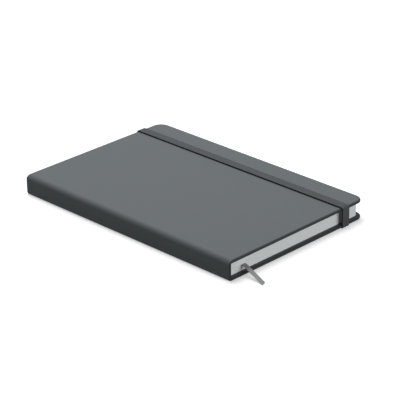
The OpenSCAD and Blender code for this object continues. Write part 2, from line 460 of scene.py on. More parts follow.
def end_sections(stations, sign):
    """Sections along the tail (sign -1) or the head (1), then round its fore-edge corner."""
    sections = []
    for point, inner, rim in stations:
        wall = (inner - point).length

        def on_end(inset, depth):
            x, z = point.lerp(inner, depth / wall)
            if x > FIT_X:
                x = FIT_X + (x - FIT_X) * (FORE_X - inset - corner_left(inset) - FIT_X) / (TURN_X - FIT_X)
            return (x, sign * (END_Y - inset), z)

        sections.append(section_at(on_end, wall, rim, 0.0))
    for k in range(1, CORNER_STEPS + 1):
        turn = math.radians(90 * k / CORNER_STEPS)

        def on_corner(inset, depth):
            r = corner_left(inset)
            x = FORE_X - inset - r + r * math.sin(turn)
            return (x, sign * (END_Y - inset - r + r * math.cos(turn)), depth)

        fold = abs(math.sin(turn * 2 * PLEATS)) ** 6 if k < CORNER_STEPS else 0
        sections.append(section_at(on_corner, COVER_T, 1.0, PLEAT_DEPTH * fold))
    return sections


def fore_sections():
    """Sections along the straight of the fore-edge, tail to head, between the two corners."""
    half_steps = 12
    sections = []
    for k in range(1, 2 * half_steps):
        y = TURN_Y * (k / half_steps - 1)

        def on_fore(inset, depth):
            return (FORE_X - inset, y * (END_Y - inset - corner_left(inset)) / TURN_Y, depth)

        sections.append(section_at(on_fore, COVER_T, 1.0, 0.0))
    return sections


def in_seat(xs, seats):
    """Whether all the given x lie in one of the seats."""
    return any(all(low - HAIR <= x <= high + HAIR for x in xs) for low, high in seats)


def ring_faces(outer, sections, columns, seats):
    """Faces round a cover's edge, open where the elastic's tab passes the turned-in skin."""
    faces = []
    for face in strip_faces(sections, columns):
        xs, ys, depths = zip(*(outer[i] for i in face))
        turned = max(abs(depth - COVER_T) for depth in depths) < 0.3 * MM
        at_tab = max(abs(y) for y in ys) < SLOT_OUT_Y + HAIR
        if not (turned and at_tab and in_seat(xs, seats)):
            faces.append(face[::-1])
    return faces


def face_lines(seats):
    """Places along Y of the outer face's points, tail to head, with any slots' sides among them."""
    ys = [TURN_Y]
    if seats:
        ys += [SLOT_OUT_Y, SLOT_IN_Y, SLOT_IN_Y - SLOT_EDGE]
    ys += [ys[-1] * (1 - k / 11) for k in range(1, 11)]
    return [-y for y in ys] + [0.0] + ys[::-1]


def grid_faces(grid, outer, seats):
    """Faces of the outer face's grid, open at the slots."""
    faces = []
    for before, after in zip(grid, grid[1:]):
        for k in range(len(before) - 1):
            quad = (before[k], after[k], after[k + 1], before[k + 1])
            level = [abs(outer[i][1]) for i in quad]
            in_slot = SLOT_IN_Y - HAIR < min(level) and max(level) < SLOT_OUT_Y + HAIR
            if not (in_slot and in_seat([outer[i][0] for i in quad], seats)):
                faces.append(quad)
    return faces


def fill_between(left, right, outer):
    """Triangles between two lines of points that stand at different places along Y."""
    faces = []
    a = b = 0
    while a < len(left) - 1 or b < len(right) - 1:
        next_a = outer[left[a + 1]][1] if a < len(left) - 1 else math.inf
        next_b = outer[right[b + 1]][1] if b < len(right) - 1 else math.inf
        if next_a <= next_b:
            faces.append((left[a], right[b], left[a + 1]))
            a += 1
        else:
            faces.append((left[a], right[b], right[b + 1]))
            b += 1
    return faces


def press_shaded_grooves(outer, painted_shade, shaded_grooves):
    """Presses the grooves beside the elastic's edges into the outer face and paints shade into them."""
    for k, (x, y, depth) in enumerate(outer):
        near = min([abs(x - line) for line in shaded_grooves], default=math.inf)
        groove_shade = smooth((GROOVE_W / 2 + GROOVE_FADE - near) / GROOVE_FADE)
        if depth < 0.2 * MM and groove_shade > 0:
            # Besides its depth, the groove is painted dark as shade
            painted_shade[k] = max(painted_shade[k], groove_shade)
            outer[k] = (x, y, depth + GROOVE_DEPTH * groove_shade)


def press_seats(points, seats, under):
    """Presses a layer down where the elastic is let in, from each slot to the nearest end."""
    for k, (x, y, depth) in enumerate(points):
        if in_seat([x], seats) and abs(y) >= SLOT_IN_Y - HAIR:
            points[k] = (x, y, max(depth, SEAT_T + under))


def case_skin(spine_r, half, seats, shaded_grooves):
    """Points, faces and painted shade of the skin of one cover and half the spine.

    A ring of sections runs along the tail, the fore-edge and the head. A grid, a fan at each corner and
    a strip beside the fore-edge fill the outer face inside it.
    """
    stations = spine_stations(spine_r, half) + flat_stations(spine_r, seats, shaded_grooves)
    ring = end_sections(stations, -1) + fore_sections() + end_sections(stations, 1)[::-1]
    columns = len(ring[0][0])
    outer = [point for section in ring for point in section[0]]
    inner = [point for section in ring for point in section[1]]
    painted_shade = [value for section in ring for value in section[2]]
    faces = ring_faces(outer, len(ring), columns, seats)

    # The ring's last column is where the outer face begins
    edge = range(columns - 1, len(outer), columns)
    ys = face_lines(seats)
    grid = []
    for tail, head in zip(edge[: len(stations)], edge[::-1]):
        line = range(len(outer), len(outer) + len(ys))
        grid.append([tail, *line, head])
        outer += [(outer[tail][0], y, outer[tail][2]) for y in ys]
        inner += [(inner[tail][0], y, inner[tail][2]) for y in ys]
        painted_shade += [0.0] * len(ys)
    faces += grid_faces(grid, outer, seats)

    corner = len(stations) - 1
    tail_hub, head_hub = grid[-1][1], grid[-1][-2]
    for k in range(corner, corner + CORNER_STEPS):
        faces.append((edge[k], edge[k + 1], tail_hub))
        faces.append((edge[-2 - k], edge[-1 - k], head_hub))
    straight = edge[corner + CORNER_STEPS : len(edge) - corner - CORNER_STEPS]
    faces += fill_between(grid[-1][1:-1], straight, outer)

    press_shaded_grooves(outer, painted_shade, shaded_grooves)
    press_seats(outer, seats, 0.0)
    press_seats(inner, seats, SKIN_T)
    return outer, inner, faces, painted_shade


def front_cover_skin(material):
    """The front cover's skin with the spine's upper half, with shaded grooves beside the elastic."""
    outer, inner, faces, painted_shade = case_skin(FRONT_SPINE_R, BOOK_H - SEAM_H, [], SHADED_GROOVES)
    outer = [(x, y, BOOK_H - depth) for x, y, depth in outer]
    inner = [(x, y, BOOK_H - depth) for x, y, depth in inner]
    return walled("cover_skin_front", outer, inner, faces, material, {"painted_skin_shade": painted_shade})


def back_cover_skin(material):
    """The back cover's skin with the spine's lower half, slotted for the elastic; depth is height here."""
    outer, inner, faces, painted_shade = case_skin(BACK_SPINE_R, SEAM_H, SEATS, [])
    return walled("cover_skin_back", outer, inner, faces, material, {"painted_skin_shade": painted_shade})


# Paper


def endpaper(name, paste, leaf, material):
    """One folded sheet: glued down inside a cover, over the joint, and free beside the pages."""
    paste_z = (paste[0].z + paste[1].z) / 2
    leaf_z = (leaf[0].z + leaf[1].z) / 2
    up = 1 if paste_z > leaf_z else -1
    fold_x = SPINE_X + FOLD_FROM_SPINE
    paste_y = END_Y - MARGIN
    leaf_y = block_high.y
    ghost_x = FORE_X - TURN_IN
    ghost_y = END_Y - TURN_IN

    def fore_round(x_end, y_end, radius, z):
        return [(x_end - radius + u, z, y_end - radius + v) for u, v in arc((0, 0), radius, 0, 90, 8)]

    # Stations (x, z, half the sheet's length along Y), from the pasted leaf's fore-edge to the free leaf's
    stations = fore_round(paste[1].x, paste_y, CORNER_R - MARGIN, paste_z)
    stations += [(ghost_x + GHOST_W, paste_z, paste_y), (ghost_x - GHOST_W, paste_z, paste_y)]
    stations += [(x * MM, paste_z, paste_y) for x in (30, 0, -30, -60)]
    stations += [(fold_x + FOLD_EASE, paste_z, paste_y), (fold_x + FOLD_CORNER, paste_z, paste_y)]
    middle_z = (paste_z + leaf_z) / 2
    half_fold = abs(paste_z - leaf_z) / 2 - FOLD_BLEND
    for k in range(FOLD_STEPS + 1):
        z = middle_z + up * half_fold * (1 - 2 * k / FOLD_STEPS)
        stations.append((fold_x, z, paste_y + (leaf_y - paste_y) * k / FOLD_STEPS))
    stations += [(fold_x + FOLD_CORNER, leaf_z, leaf_y), (fold_x + FOLD_EASE, leaf_z, leaf_y)]
    stations += [(x * MM, leaf_z, leaf_y) for x in (-60, -30, 0, 30)]
    stations += fore_round(leaf[1].x, leaf_y, PAGE_CORNER_R, leaf_z)[::-1]

    # The pasted leaf sinks a little inside the turned-in skin and rises over it
    outer, inner = [], []
    ghosts = [-ghost_y - GHOST_W, -ghost_y + GHOST_W, 0, ghost_y - GHOST_W, ghost_y + GHOST_W]
    half = ENDPAPER_T / 2
    for (x, z, y_end), side in zip(stations, side_step([(x, z) for x, z, _ in stations])):
        for y in [-y_end, *ghosts, y_end]:
            shift = 0.0
            if z == paste_z:
                shift = up * PRESSED if x < ghost_x and abs(y) < ghost_y else -up * RAISED
            outer.append((x + side.x * half, y, z + side.y * half + shift))
            inner.append((x - side.x * half, y, z - side.y * half + shift))
    faces = strip_faces(len(stations), len(ghosts) + 2)
    return walled(name, outer, inner, faces, material)


def one_leaf(name, material):
    """One leaf of the sewn pages, at z = 0, with points where the spine fold and the ribbon bend it."""
    low_x, high_x, end_y = block_low.x, block_high.x, block_high.y
    xs = [low_x, low_x + 0.25 * MM, low_x + 0.7 * MM, low_x + SPINE_FOLD_W]
    xs += [RIBBON_X + k * MM for k in (-9, -7, -6, -5, -4, -3.2, -2.4, 0, 2.4, 3.2, 4, 5, 6, 7, 9, 14)]
    xs += [0, high_x - PAGE_CORNER_R]
    outline = [(x, end_y) for x in xs]
    for u, v in arc((0, 0), PAGE_CORNER_R, 90, 0, 6)[1:]:
        outline.append((high_x - PAGE_CORNER_R + u, end_y - PAGE_CORNER_R + v))
    points = [(x, sign * y, 0) for x, y in outline for sign in (-1, 1)]
    lift = Vector((0, 0, LEAF_T / 2))
    outer = [Vector(p) + lift for p in points]
    inner = [Vector(p) - lift for p in points]
    return walled(name, outer, inner, strip_faces(len(outline), 2), material)


def node_group(name, inputs):
    """An empty Geometry Nodes tree with named inputs and a geometry output."""
    tree = bpy.data.node_groups.new(name, "GeometryNodeTree")
    tree.interface.new_socket(name="Geometry", in_out="INPUT", socket_type="NodeSocketGeometry")
    for label, kind in inputs.items():
        tree.interface.new_socket(name=label, in_out="INPUT", socket_type="NodeSocket" + kind)
    tree.interface.new_socket(name="Geometry", in_out="OUTPUT", socket_type="NodeSocketGeometry")
    return tree, add(tree, "NodeGroupInput").outputs, add(tree, "NodeGroupOutput")


def grow(piece, tree, values):
    """Runs a Geometry Nodes tree on a piece and keeps the result as its plain mesh."""
    modifier = piece.modifiers.new(tree.name, "NODES")
    modifier.node_group = tree
    for item in tree.interface.items_tree:
        if item.in_out == "INPUT" and item.name in values:
            modifier[item.identifier] = values[item.name]
    bpy.context.view_layer.update()
    evaluated = piece.evaluated_get(bpy.context.evaluated_depsgraph_get())
    mesh = bpy.data.meshes.new_from_object(evaluated)
    old = piece.data
    piece.modifiers.clear()
    piece.data = mesh
    mesh.name = piece.name
    bpy.data.meshes.remove(old)
    return piece


def stacked(tree, given):
    """Nodes that stack copies of one leaf, each a little askew."""
    start = add(tree, "ShaderNodeCombineXYZ", {"Z": given["Lowest"]}).outputs[0]
    pitch = add(tree, "ShaderNodeCombineXYZ", {"Z": given["Pitch"]}).outputs[0]
    line = add(
        tree, "GeometryNodeMeshLine",
        {"Count": given["Leaves"], "Start Location": start, "Offset": pitch},
    )
    placed = add(
        tree, "GeometryNodeInstanceOnPoints",
        {"Points": line.outputs["Mesh"], "Instance": given["Geometry"]},
    )
    back = add(
        tree, "ShaderNodeVectorMath", {0: given["Scatter"], "Scale": -1.0}, operation="SCALE"
    ).outputs[0]
    jog = add(
        tree, "FunctionNodeRandomValue", {0: back, 1: given["Scatter"], "Seed": given["Seed"]},
        data_type="FLOAT_VECTOR",
    )
    jogged = add(
        tree, "GeometryNodeTranslateInstances",
        {"Instances": placed.outputs["Instances"], "Translation": jog.outputs[0], "Local Space": False},
    )
    return add(tree, "GeometryNodeRealizeInstances", {"Geometry": jogged.outputs["Instances"]})


def spine_shift(tree, given, xyz):
    """Nodes for the shift along X that folds each section and rolls the block's top corner at the spine."""
    height = add(
        tree, "ShaderNodeMath", {0: xyz["Z"], 1: given["Lowest"]}, operation="SUBTRACT"
    ).outputs[0]
    wave = add(
        tree, "ShaderNodeMath", {0: height, 1: given["Half section"]}, operation="PINGPONG"
    ).outputs[0]
    groove = add(
        tree, "ShaderNodeMapRange",
        {"Value": wave, "From Max": given["Half section"], "To Min": 1.0, "To Max": 0.0},
    ).outputs[0]
    sharp = add(tree, "ShaderNodeMath", {0: groove, 1: groove}, operation="MULTIPLY").outputs[0]
    rise = add(
        tree, "ShaderNodeMath", {0: xyz["Z"], 1: given["Roll height"]}, operation="SUBTRACT"
    ).outputs[0]
    over = add(tree, "ShaderNodeMath", {0: rise, 1: 0.0}, operation="MAXIMUM").outputs[0]
    square = add(tree, "ShaderNodeMath", {0: over, 1: over}, operation="MULTIPLY").outputs[0]
    roll = add(
        tree, "ShaderNodeMath", {0: square, 1: given["Roll diameter"]}, operation="DIVIDE"
    ).outputs[0]
    inset = add(
        tree, "ShaderNodeMath", {0: sharp, 1: given["Fold depth"], 2: roll}, operation="MULTIPLY_ADD"
    ).outputs[0]
    return add(
        tree, "ShaderNodeMapRange",
        {
            "Value": xyz["X"], "From Min": given["Spine x"], "From Max": given["Straight x"],
            "To Min": inset, "To Max": 0.0,
        },
    ).outputs[0]


def ribbon_shift(tree, given, xyz):
    """Nodes for the shift along Z that parts the leaves round the ribbon, most at the tail."""
    aside = add(
        tree, "ShaderNodeMath", {0: xyz["X"], 1: given["Ribbon x"]}, operation="SUBTRACT"
    ).outputs[0]
    beside = add(tree, "ShaderNodeMath", {0: aside}, operation="ABSOLUTE").outputs[0]
    across = add(
        tree, "ShaderNodeMapRange",
        {
            "Value": beside, "From Min": given["Part flat"], "From Max": given["Part width"],
            "To Min": 1.0, "To Max": 0.0,
        },
        interpolation_type="SMOOTHSTEP",
    ).outputs[0]
    along = add(
        tree, "ShaderNodeMapRange",
        {
            "Value": xyz["Y"], "From Min": given["Tail y"], "From Max": given["Head y"],
            "To Min": given["Ribbon lift"], "To Max": 0.0,
        },
    ).outputs[0]
    above = add(
        tree, "ShaderNodeMath", {0: xyz["Z"], 1: given["Ribbon height"]}, operation="SUBTRACT"
    ).outputs[0]
    side = add(tree, "ShaderNodeMath", {0: above}, operation="SIGN").outputs[0]
    far = add(tree, "ShaderNodeMath", {0: above}, operation="ABSOLUTE").outputs[0]
    fade = add(
        tree, "ShaderNodeMapRange",
        {"Value": far, "From Max": given["Part fade"], "To Min": 1.0, "To Max": 0.0},
        interpolation_type="SMOOTHSTEP",
    ).outputs[0]
    signed = add(tree, "ShaderNodeMath", {0: side, 1: fade}, operation="MULTIPLY").outputs[0]
    local = add(tree, "ShaderNodeMath", {0: across, 1: along}, operation="MULTIPLY").outputs[0]
    return add(tree, "ShaderNodeMath", {0: signed, 1: local}, operation="MULTIPLY").outputs[0]


def leaf_stack(material):
    """The sewn pages: leaves by the stack, folded in sections at the spine and parted by the ribbon."""
    tree, given, result = node_group(
        "leaf_stack",
        {
            "Leaves": "Int", "Pitch": "Float", "Lowest": "Float", "Scatter": "Vector", "Seed": "Int",
            "Half section": "Float", "Fold depth": "Float", "Roll height": "Float",
            "Roll diameter": "Float", "Spine x": "Float", "Straight x": "Float", "Ribbon x": "Float",
            "Ribbon height": "Float", "Ribbon lift": "Float", "Part flat": "Float", "Part width": "Float",
            "Part fade": "Float", "Tail y": "Float", "Head y": "Float", "Material": "Material",
        },
    )
    real = stacked(tree, given)
    place = add(tree, "GeometryNodeInputPosition").outputs[0]
    xyz = add(tree, "ShaderNodeSeparateXYZ", {"Vector": place}).outputs
    push = add(
        tree, "ShaderNodeCombineXYZ",
        {"X": spine_shift(tree, given, xyz), "Z": ribbon_shift(tree, given, xyz)},
    ).outputs[0]
    moved = add(tree, "GeometryNodeSetPosition", {"Geometry": real.outputs["Geometry"], "Offset": push})
    dressed = add(
        tree, "GeometryNodeSetMaterial",
        {"Geometry": moved.outputs["Geometry"], "Material": given["Material"]},
    )
    tree.links.new(dressed.outputs["Geometry"], result.inputs["Geometry"])

    pitch = (block_high.z - block_low.z) / LEAVES
    return grow(
        one_leaf("page_leaves", material),
        tree,
        {
            "Leaves": LEAVES, "Pitch": pitch, "Lowest": block_low.z + pitch / 2,
            "Scatter": (LEAF_SCATTER, LEAF_SCATTER, 0.0), "Seed": 7,
            "Half section": SECTION_LEAVES * pitch / 2, "Fold depth": SECTION_FOLD,
            "Roll height": BOOK_H - FRONT_SPINE_R, "Roll diameter": 2 * (FRONT_SPINE_R - PAGE_ROLL_IN),
            "Spine x": block_low.x, "Straight x": block_low.x + SPINE_FOLD_W, "Ribbon x": RIBBON_X,
            "Ribbon height": RIBBON_MIDDLE, "Ribbon lift": PART_H, "Part flat": PART_FLAT,
            "Part width": PART_W, "Part fade": PART_FADE, "Tail y": -END_Y, "Head y": END_Y,
            "Material": material,
        },
    )


# Elastic and ribbon


def swept(name, centres, sides, rises, snug, section, material):
    """A closed strip along a run: section gives (across, half thickness) for each point over its width.

    Its inner face is moved in by the snug length at each point of the run. Its UV map is in
    millimetres: across the strip and along it.
    """
    outer, inner, places = [], [], []
    run = 0.0
    for k, centre in enumerate(centres):
        if k:
            run += (centre - centres[k - 1]).length
        for across, thick in section:
            outer.append(centre + sides[k] * across + rises[k] * thick)
            inner.append(centre + sides[k] * across - rises[k] * (thick + snug[k]))
            places.append((across / MM, run / MM))
    faces = strip_faces(len(centres), len(section))
    piece = walled(name, outer, inner, faces, material)
    layer = piece.data.uv_layers.new(name="weave")
    count = len(outer)
    for loop in piece.data.loops:
        layer.data[loop.index].uv = places[loop.vertex_index % count]
    return piece


def elastic(material):
    """Flat woven elastic: from a slot, round the tail, over the front, round the head, into a slot."""
    half = BAND_T / 2
    slot_y = END_Y - SLOT_FROM_END
    out_y = band_high.y - half
    top_z = band_high.z - half
    tab_z = COVER_T - TAB_DEPTH - half
    fold_r = half + BAND_INNER_BEND

    # Half of the run as bends (y, z, radius), from the tab's end to the top of the front cover
    bends = [
        (slot_y - TAB_L, tab_z, 0), (slot_y, tab_z, fold_r), (slot_y, half, fold_r),
        (out_y, half, fold_r), (out_y, top_z, BAND_OUTER_BEND),
    ]
    path = rounded([(-y, z, r) for y, z, r in bends] + bends[::-1])
    middle = next(k for k in range(len(path)) if path[k][0] > 0)
    path = path[:middle] + [(0.0, top_z)] + path[middle:]
    centres = [Vector((BAND_X, y, z)) for y, z in path]
    rises = [Vector((0, side.x, side.y)) for side in side_step(path)]
    across = [Vector((1, 0, 0))] * len(path)

    # Section: a ridge over each rubber cord, and full thickness at both selvedges
    between_cords = 0.82
    steps = 6 * BAND_CORDS
    width = band_high.x - band_low.x
    section = []
    for k in range(steps + 1):
        u = k / steps
        ridge = abs(math.sin(math.pi * u * BAND_CORDS)) ** 0.6
        rim = max(0.0, 1 - min(u, 1 - u) * BAND_CORDS * 4)
        section.append(((u - 0.5) * width, half * max(between_cords + (1 - between_cords) * ridge, rim)))
    snug = [BAND_SNUG if centre.z > BOOK_H / 2 else 0.0 for centre in centres]
    return swept("elastic_closure", centres, across, rises, snug, section, material)


def ribbon(material):
    """Satin ribbon: glued in near the head, between the pages, out at the tail and down to the table."""
    elbow = Vector((RIBBON_X, -block_high.y + RIBBON_ELBOW_IN))
    root = Vector((block_low.x + RIBBON_W / 2 + RIBBON_ROOT_GAP, block_high.y - RIBBON_ROOT_IN))
    heading = Vector((-math.sin(RIBBON_TURN), -math.cos(RIBBON_TURN)))
    bend_r = RIBBON_BEND_R + RIBBON_T / 2

    # The free end (run, height) from the elbow: level, over a bend, then straight down the slope
    profile = [(RIBBON_LEVEL * k / 6, 0.0) for k in range(6)]
    for k in range(BEND_STEPS + 1):
        a = RIBBON_FALL * k / BEND_STEPS
        profile.append((RIBBON_LEVEL + bend_r * math.sin(a), -bend_r * (1 - math.cos(a))))
    bend_end, bend_z = profile[-1]
    drop = RIBBON_MIDDLE + bend_z - RIBBON_T / 2 - RIBBON_OFF_TABLE
    slope_l = drop / math.sin(RIBBON_FALL)
    for k in range(1, 25):
        f = k / 24
        profile.append((bend_end + slope_l * math.cos(RIBBON_FALL) * f, bend_z - drop * f))

    # The run between the pages, then the free end
    across = Vector((math.cos(RIBBON_TURN), -math.sin(RIBBON_TURN), 0))
    into = (elbow - root).normalized()
    centres = [Vector((*root.lerp(elbow, k / 8), RIBBON_MIDDLE)) for k in range(8)]
    sides = [Vector((-into.y, into.x, 0))] * 8
    rises = [Vector((0, 0, 1))] * 8
    for (run, z), slope in zip(profile, side_step(profile)):
        spot = elbow + heading * run
        centres.append(Vector((spot.x, spot.y, RIBBON_MIDDLE + z)))
        sides.append(across)
        rises.append(Vector((heading.x * slope.x, heading.y * slope.x, slope.y)))

    # Section: the selvedges are thicker than the satin between them
    satin_share, selvedge_share = 0.85, 1.25
    section = []
    for k in range(17):
        u = k / 16 - 0.5
        share = selvedge_share if abs(u) > 0.42 else satin_share
        section.append((u * RIBBON_W, RIBBON_T / 2 * share))
    flat = [0.0] * len(centres)
    piece = swept("ribbon_satin", centres, sides, rises, flat, section, material)

    # The cut is slanted by drawing one side back along the slope
    tip = centres[-1]
    along = Vector((heading.x, heading.y, -math.tan(RIBBON_FALL)))
    for vertex in piece.data.vertices:
        behind = (tip - vertex.co).xy.dot(heading)
        if behind < RIBBON_CUT_RUN:
            offset = (vertex.co - tip).dot(across)
            shorten = (offset + RIBBON_W / 2) * math.tan(RIBBON_CUT)
            vertex.co -= along * shorten * (1 - behind / RIBBON_CUT_RUN)
    return piece


# Materials


def material_of(name):
    """An empty node material: the material, its tree and its output node."""
    material = bpy.data.materials.new(name)
    material.use_nodes = True
    material.node_tree.nodes.clear()
    return material, material.node_tree, add(material.node_tree, "ShaderNodeOutputMaterial")


def soft_touch_skin():
    """Soft-touch polyurethane, cast on a cloth backing and laminated on board.

    It gives the eye a dead matt, velvety grey with a barely visible grain and cloud, and is painted nearly
    black as shade over the covers' edges and inner margins and in the grooves beside the elastic.
    """
    material, tree, output = material_of("soft_touch_polyurethane")
    place = add(tree, "ShaderNodeTexCoord").outputs["Object"]
    # One cloud in 17 mm
    cloud = add(
        tree, "ShaderNodeTexNoise", {"Vector": place, "Scale": 0.06 / MM, "Detail": 4, "Roughness": 0.6}
    ).outputs["Fac"]
    tone = add(
        tree, "ShaderNodeMix", {"Factor": cloud, "A": rgb("#61676a"), "B": rgb("#676d70")}, data_type="RGBA"
    ).outputs["Result"]
    # Painted shade: a nearly black tone over the covers' edges, their inner margins and the grooves beside
    # the elastic
    shade_mask = add(tree, "ShaderNodeAttribute", attribute_name="painted_skin_shade").outputs["Fac"]
    shaded_tone = add(
        tree, "ShaderNodeMix", {"Factor": shade_mask, "A": tone, "B": rgb("#2f3335")}, data_type="RGBA"
    ).outputs["Result"]
    # 2.4 grains to the millimetre
    grain = add(
        tree, "ShaderNodeTexNoise", {"Vector": place, "Scale": 2.4 / MM, "Detail": 3, "Roughness": 0.6}
    ).outputs["Fac"]
    bump = add(tree, "ShaderNodeBump", {"Height": grain, "Strength": 0.4, "Distance": 0.05 * MM})
    rough = add(tree, "ShaderNodeMapRange", {"Value": cloud, "To Min": 0.55, "To Max": 0.65})
    shader = add(
        tree, "ShaderNodeBsdfPrincipled",
        {
            "Base Color": shaded_tone, "Roughness": rough.outputs["Result"], "IOR": 1.46,
            "Specular IOR Level": 0.2, "Sheen Weight": 0.08, "Sheen Roughness": 0.45,
            "Normal": bump.outputs["Normal"],
        },
    )
    tree.links.new(shader.outputs[0], output.inputs["Surface"])
    return material


def writing_paper():
    """Uncoated off-white writing paper, cut in the block.

    It gives the eye matt, faintly cool leaves, each a shade apart from the next on the cut edges.
    """
    material, tree, output = material_of("uncoated_writing_paper")
    place = add(tree, "ShaderNodeTexCoord").outputs["Object"]
    # One shade in 40 mm along a leaf, and four to the millimetre through the block
    leaf = add(
        tree, "ShaderNodeMapping", {"Vector": place, "Scale": (0.025 / MM, 0.025 / MM, 4 / MM)}
    ).outputs[0]
    shade = add(tree, "ShaderNodeTexNoise", {"Vector": leaf, "Scale": 1, "Detail": 2}).outputs["Fac"]
    tone = add(
        tree, "ShaderNodeMix", {"Factor": shade, "A": rgb("#eef3f4"), "B": rgb("#fafdff")}, data_type="RGBA"
    ).outputs["Result"]
    # Three fibres of tooth to the millimetre
    tooth = add(tree, "ShaderNodeTexNoise", {"Vector": place, "Scale": 3 / MM, "Detail": 3}).outputs["Fac"]
    bump = add(tree, "ShaderNodeBump", {"Height": tooth, "Strength": 0.3, "Distance": 0.03 * MM})
    shader = add(
        tree, "ShaderNodeBsdfPrincipled",
        {
            "Base Color": tone, "Roughness": 0.9, "IOR": 1.45, "Specular IOR Level": 0.15,
            "Normal": bump.outputs["Normal"],
        },
    )
    tree.links.new(shader.outputs[0], output.inputs["Surface"])
    return material


def fibrous(name, dark, light, grain_mm, depth_mm):
    """Board, paper or cloth: matt, mottled in two close shades, with a fibre bump of the given size."""
    material, tree, output = material_of(name)
    place = add(tree, "ShaderNodeTexCoord").outputs["Object"]
    fibre = add(
        tree, "ShaderNodeTexNoise",
        {"Vector": place, "Scale": 1000 / grain_mm, "Detail": 5, "Roughness": 0.7},
    ).outputs["Fac"]
    tone = add(
        tree, "ShaderNodeMix", {"Factor": fibre, "A": rgb(dark), "B": rgb(light)}, data_type="RGBA"
    ).outputs["Result"]
    bump = add(tree, "ShaderNodeBump", {"Height": fibre, "Strength": 0.5, "Distance": depth_mm * MM})
    shader = add(
        tree, "ShaderNodeBsdfPrincipled",
        {
            "Base Color": tone, "Roughness": 0.92, "IOR": 1.45, "Specular IOR Level": 0.2,
            "Normal": bump.outputs["Normal"],
        },
    )
    tree.links.new(shader.outputs[0], output.inputs["Surface"])
    return material


def woven(name, gap_shade, thread, selvedge_and_shade, rib_mm, pick_mm, depth_mm, edge_mm, roughness, sheen):
    """Woven threads on the strip's own UV map in millimetres: ribs along it and slanting picks across, with
    painted shade in the gaps between them.

    Beyond edge_mm from its middle the strip takes a plain selvedge colour; on the elastic that colour is
    painted shade along its edges and sides.
    """
    material, tree, output = material_of(name)
    uv = add(tree, "ShaderNodeUVMap", uv_map="weave").outputs["UV"]
    ribs = add(
        tree, "ShaderNodeTexWave", {"Vector": uv, "Scale": WAVE_MM / rib_mm}, bands_direction="X"
    ).outputs["Fac"]
    picks = add(
        tree, "ShaderNodeTexWave", {"Vector": uv, "Scale": 2 * WAVE_MM / pick_mm},
        bands_direction="DIAGONAL",
    ).outputs["Fac"]
    raised = add(tree, "ShaderNodeMath", {0: ribs, 1: picks}, operation="MULTIPLY").outputs[0]
    across = add(tree, "ShaderNodeSeparateXYZ", {"Vector": uv}).outputs["X"]
    beside = add(tree, "ShaderNodeMath", {0: across}, operation="ABSOLUTE").outputs[0]
    inside = add(
        tree, "ShaderNodeMapRange",
        {
            "Value": beside, "From Min": edge_mm, "From Max": edge_mm + SELVEDGE_AND_SHADE_FADE_MM,
            "To Min": 1.0, "To Max": 0.0,
        },
    ).outputs[0]
    # Painted shade: the gap colour where the threads lie low
    weave = add(
        tree, "ShaderNodeMix", {"Factor": raised, "A": rgb(gap_shade), "B": rgb(thread)}, data_type="RGBA"
    ).outputs["Result"]
    # Painted shade: the selvedge colour, nearly black on the elastic, over its edges and sides
    tone = add(
        tree, "ShaderNodeMix", {"Factor": inside, "A": rgb(selvedge_and_shade), "B": weave}, data_type="RGBA"
    ).outputs["Result"]
    bump = add(tree, "ShaderNodeBump", {"Height": raised, "Strength": 0.7, "Distance": depth_mm * MM})
    shader = add(
        tree, "ShaderNodeBsdfPrincipled",
        {
            "Base Color": tone, "Roughness": roughness, "IOR": 1.5,
            "Specular IOR Level": 0.15, "Sheen Weight": sheen, "Sheen Roughness": 0.4,
            "Normal": bump.outputs["Normal"],
        },
    )
    tree.links.new(shader.outputs[0], output.inputs["Surface"])
    return material


# Camera, light and floor


def camera():
    """A long lens at the photograph's viewing angle."""
    data = bpy.data.cameras.new("camera")
    data.sensor_width = SENSOR_MM
    data.lens = FOCAL_PIXELS * SENSOR_MM / PHOTO_PIXELS
    data.clip_start = 0.05
    data.clip_end = 20
    eye = bpy.data.objects.new("camera", data)
    bpy.context.scene.collection.objects.link(eye)
    back = Vector((
        math.sin(CAMERA_AZIMUTH) * math.cos(CAMERA_ELEVATION),
        -math.cos(CAMERA_AZIMUTH) * math.cos(CAMERA_ELEVATION),
        math.sin(CAMERA_ELEVATION),
    ))
    level = Vector((0, 0, 1)).cross(back).normalized()
    up = back.cross(level)
    right = math.cos(CAMERA_ROLL) * level + math.sin(CAMERA_ROLL) * up
    top = -math.sin(CAMERA_ROLL) * level + math.cos(CAMERA_ROLL) * up
    turn = Matrix((right, top, back)).transposed().to_4x4()
    eye.matrix_world = Matrix.Translation(CAMERA_AIM + back * CAMERA_DISTANCE) @ turn
    bpy.context.scene.camera = eye


def lamp(name, place, size, watts):
    """A square soft lamp that looks at the notebook."""
    data = bpy.data.lights.new(name, "AREA")
    data.shape = "SQUARE"
    data.size = size
    data.energy = watts
    light = bpy.data.objects.new(name, data)
    bpy.context.scene.collection.objects.link(light)
    light.location = place
    light.rotation_euler = (-Vector(place)).to_track_quat("-Z", "Y").to_euler()


def seen_or_mirrored(tree):
    """1 for rays that the camera sends or that a gloss or a glass passes on, 0 for the rest."""
    rays = add(tree, "ShaderNodeLightPath").outputs
    seen = add(
        tree, "ShaderNodeMath", {0: rays["Is Camera Ray"], 1: rays["Is Glossy Ray"]}, operation="MAXIMUM"
    ).outputs[0]
    return add(
        tree, "ShaderNodeMath", {0: seen, 1: rays["Is Transmission Ray"]}, operation="MAXIMUM"
    ).outputs[0]


def white_room():
    """A world that is white to the eye and gives the object only a weak light from all sides."""
    world = bpy.data.worlds.new("white_room")
    bpy.context.scene.world = world
    world.use_nodes = True
    tree = world.node_tree
    tree.nodes.clear()
    dim = add(tree, "ShaderNodeBackground", {"Color": rgb("#ffffff"), "Strength": ROOM_LIGHT})
    white = add(tree, "ShaderNodeBackground", {"Color": rgb("#ffffff"), "Strength": 1.0})
    mix = add(
        tree, "ShaderNodeMixShader",
        {0: seen_or_mirrored(tree), 1: dim.outputs[0], 2: white.outputs[0]},
    )
    add(tree, "ShaderNodeOutputWorld", {"Surface": mix.outputs[0]})


